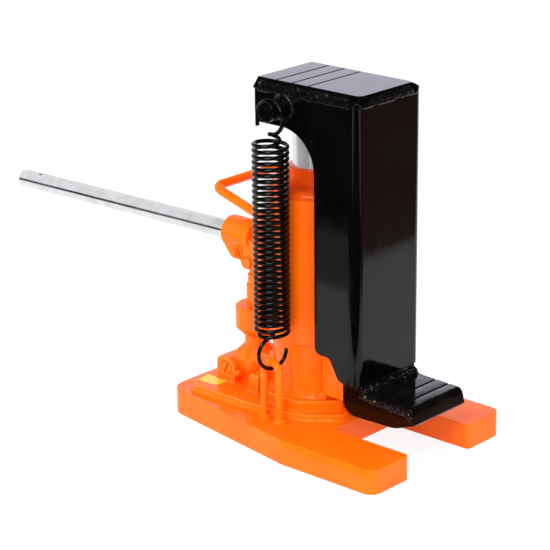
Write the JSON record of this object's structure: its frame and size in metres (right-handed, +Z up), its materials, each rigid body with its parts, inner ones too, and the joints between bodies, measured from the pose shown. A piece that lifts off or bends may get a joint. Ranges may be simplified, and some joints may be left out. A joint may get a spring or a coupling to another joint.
{
  "type": "hydraulic toe jack",
  "caption": "Hydraulic toe jack: a black lifting frame with grooved head and low toe slides on an orange cylinder over a forked base, with return springs and a pump handle.",
  "frame": {"origin": "where the ram's axis meets the ground, under the base plate", "axes": "+Z up along the ram, +X towards the toe, the pump handle towards -X"},
  "size_m": [0.6915, 0.236, 0.4255],
  "materials": {
    "orange_paint": "gloss orange enamel",
    "black_paint": "gloss black enamel",
    "spring_black": "satin black",
    "chrome": "polished chrome plate",
    "zinc": "bright zinc plate",
    "bare_steel": "machined",
    "copper": "soft copper",
    "rubber": "matt"
  },
  "bodies": {
    "base": {"base_plate": "orange_paint", "body_casting": "orange_paint", "reservoir_tube": "orange_paint", "pressure_cylinder": "bare_steel", "cylinder_gasket": "copper", "top_cap": "orange_paint", "cap_seal": "rubber", "ram_wiper": "rubber", "guide_block": "orange_paint", "carry_handle": "orange_paint", "spring_anchor_left": "orange_paint", "spring_anchor_right": "orange_paint", "return_spring_left": "spring_black", "return_spring_right": "spring_black", "pump_barrel": "orange_paint", "pump_packing": "rubber", "fulcrum_pin": "orange_paint", "inlet_ball": "bare_steel", "outlet_ball": "bare_steel", "outlet_spring": "bare_steel", "release_ball": "bare_steel", "valve_plugs": "orange_paint", "filler_plug": "rubber"},
    "lift_frame": {"frame_channel": "black_paint", "head_plate": "black_paint", "toe": "black_paint", "spring_pin_left": "black_paint", "spring_pin_right": "black_paint", "ram": "chrome", "ram_seat": "black_paint", "piston": "bare_steel", "piston_seal": "rubber"},
    "pump_lever": {"lever_socket": "orange_paint", "pinch_bolt": "orange_paint", "pinch_nut": "orange_paint"},
    "plunger": {"pump_plunger": "orange_paint", "plunger_pin": "orange_paint"},
    "handle_bar": {"handle_tube": "zinc"},
    "release_valve": {"release_screw": "orange_paint", "release_packing": "rubber"}
  },
  "joints": [
    {"name": "lift", "type": "slide", "parent": "base", "child": "lift_frame", "axis": [0, 0, 1], "range_m": [-0.049, 0.15], "deforming": ["return_spring_left", "return_spring_right"]},
    {"name": "pump_swing", "type": "hinge", "parent": "base", "child": "pump_lever", "pos_m": [-0.07, 0, 0.185], "axis": [0, 1, 0], "range_deg": [-20, 30]},
    {"name": "plunger_stroke", "type": "slide", "parent": "base", "child": "plunger", "axis": [0, 0, 1], "range_m": [-0.0092, 0.0136]},
    {"name": "handle_pull", "type": "slide", "parent": "pump_lever", "child": "handle_bar", "axis": [-0.9999, 0, -0.0133], "range_m": [0, 0.06]},
    {"name": "release_turn", "type": "hinge", "parent": "base", "child": "release_valve", "pos_m": [-0.1086, -0.04, 0.0551], "axis": [0, -1, 0], "range_deg": [0, 360]}
  ],
  "couplings": [
    {"joint": "plunger_stroke", "follows": "pump_swing", "m_per_rad": 0.0255}
  ]
}
